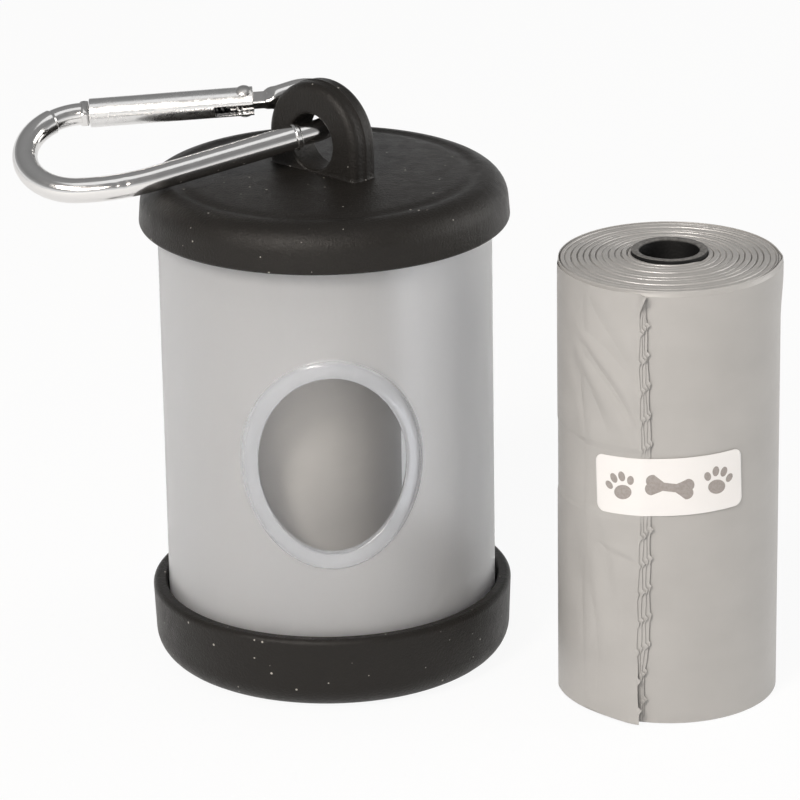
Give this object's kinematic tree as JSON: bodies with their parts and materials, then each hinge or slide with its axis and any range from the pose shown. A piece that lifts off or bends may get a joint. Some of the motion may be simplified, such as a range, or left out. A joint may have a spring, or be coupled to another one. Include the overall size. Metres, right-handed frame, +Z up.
{
  "type": "dog poop bag dispenser",
  "caption": "Clear tube dispenser for dog waste bags with press-on black caps, an oval pull-out window, a snap hook through its lug, a bag roll inside and a spare roll beside it.",
  "frame": {"origin": "the centre of the bottom cap's underside, on the surface that the dispenser stands on", "axes": "+Z up along the tube, -Y out through the oval window, +X towards the spare roll"},
  "size_m": [0.1085, 0.0606, 0.0867],
  "materials": {
    "black_plastic": "matte",
    "clear_plastic": "translucent satin",
    "polished_alloy": "polished",
    "satin_alloy": "satin",
    "rivet_steel": "satin",
    "spring_steel": "bright",
    "core_plastic": "matte",
    "bag_film": "satin film",
    "white_label": "satin paper"
  },
  "bodies": {
    "base": {"bottom_cap": "black_plastic"},
    "tube_body": {"tube": "clear_plastic"},
    "cap": {"top_cap": "black_plastic"},
    "hook": {"carabiner_frame": "polished_alloy"},
    "gate": {"carabiner_gate": "satin_alloy", "gate_rivet": "rivet_steel"},
    "plunger": {"gate_plunger": "rivet_steel", "gate_spring": "spring_steel"},
    "loaded_roll": {"loaded_core": "core_plastic", "loaded_film": "bag_film", "loaded_outer_bag": "bag_film"},
    "spare_roll": {"spare_core": "core_plastic", "spare_film": "bag_film", "spare_outer_bag": "bag_film", "spare_label": "white_label"}
  },
  "joints": [
    {"name": "tube_lift", "type": "slide", "parent": "base", "child": "tube_body", "axis": [0, 0, 1], "range_m": [0, 0.012]},
    {"name": "cap_lift", "type": "slide", "parent": "tube_body", "child": "cap", "axis": [0, 0, 1], "range_m": [0, 0.03]},
    {"name": "hook_swing", "type": "hinge", "parent": "cap", "child": "hook", "pos_m": [-0.0001, 0, 0.0781], "axis": [0.7071, 0.7071, 0], "range_deg": [0, 150]},
    {"name": "gate_swing", "type": "hinge", "parent": "hook", "child": "gate", "pos_m": [-0.01107, 0.00746, 0.08171], "axis": [-0.0639, -0.4233, 0.9037], "range_deg": [0, 30], "stiffness_Nm_per_rad": 0.02, "springref_deg": -28.65},
    {"name": "plunger_slide", "type": "slide", "parent": "gate", "child": "plunger", "axis": [-0.9979, 0.0221, -0.0602], "range_m": [0, 0.00034]},
    {"name": "roll_spin", "type": "hinge", "parent": "base", "child": "loaded_roll", "pos_m": [-0.0052, 0, 0.0345], "axis": [0, 0, 1], "continuous": true},
    {"name": "spare_lift", "type": "slide", "parent": "base", "child": "spare_roll", "axis": [0, 0, 1], "range_m": [0, 0.03]}
  ],
  "couplings": [
    {"joint": "plunger_slide", "follows": "gate_swing", "m_per_rad": 0.00063}
  ]
}
